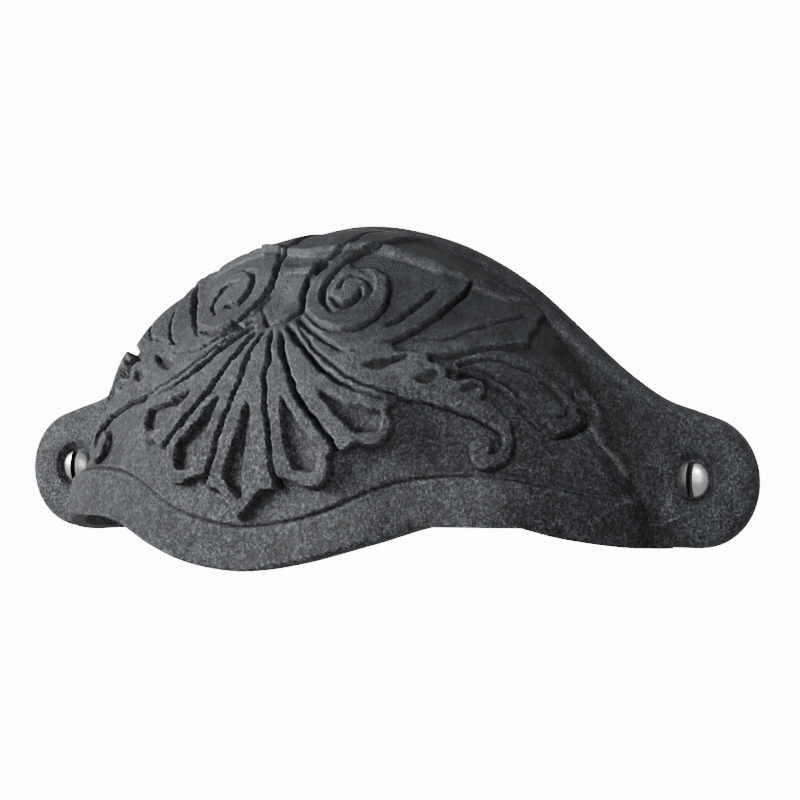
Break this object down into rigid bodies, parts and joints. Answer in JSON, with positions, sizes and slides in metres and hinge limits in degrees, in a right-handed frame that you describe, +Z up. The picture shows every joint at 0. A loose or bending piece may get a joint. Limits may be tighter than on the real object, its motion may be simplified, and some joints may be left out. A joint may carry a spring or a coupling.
{
  "type": "cup pull",
  "caption": "Cast-iron cup pull, a hooded cup open underneath with a drilled ear at each end, held by two slotted domed-head wood screws.",
  "frame": {"origin": "on the wall plane, midway between the two screw holes", "axes": "+X along the pull, +Z up, -Y out of the wall towards the room"},
  "size_m": [0.1338, 0.0459, 0.0512],
  "materials": {
    "cast_iron": "satin",
    "screw_steel": "bright"
  },
  "bodies": {
    "root": {"cup_casting": "cast_iron", "screw_left": "screw_steel", "screw_right": "screw_steel"}
  },
  "joints": []
}
